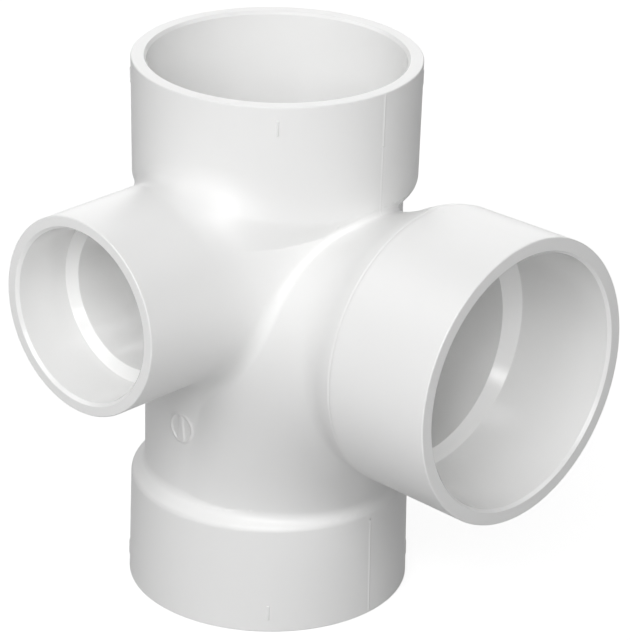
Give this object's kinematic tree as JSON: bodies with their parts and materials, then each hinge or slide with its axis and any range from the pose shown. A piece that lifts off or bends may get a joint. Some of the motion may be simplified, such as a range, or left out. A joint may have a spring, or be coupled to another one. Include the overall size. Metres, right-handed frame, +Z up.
{
  "type": "side inlet sanitary tee",
  "caption": "White PVC drain fitting: a straight run with a swept branch and a smaller side inlet, each ending in a solvent-weld socket.",
  "frame": {"origin": "centre of the bottom rim, on the axis of the run", "axes": "+Z up along the run, +X out of the swept branch, -Y out of the side inlet"},
  "size_m": [0.1658, 0.1431, 0.197],
  "materials": {
    "white_pvc": "white rigid PVC as moulded, smooth with a soft satin gloss"
  },
  "bodies": {
    "root": {"top_hub": "white_pvc", "bottom_hub": "white_pvc", "branch_hub": "white_pvc", "side_inlet_hub": "white_pvc", "run_barrel": "white_pvc", "branch_sweep": "white_pvc", "side_inlet_neck": "white_pvc"}
  },
  "joints": []
}
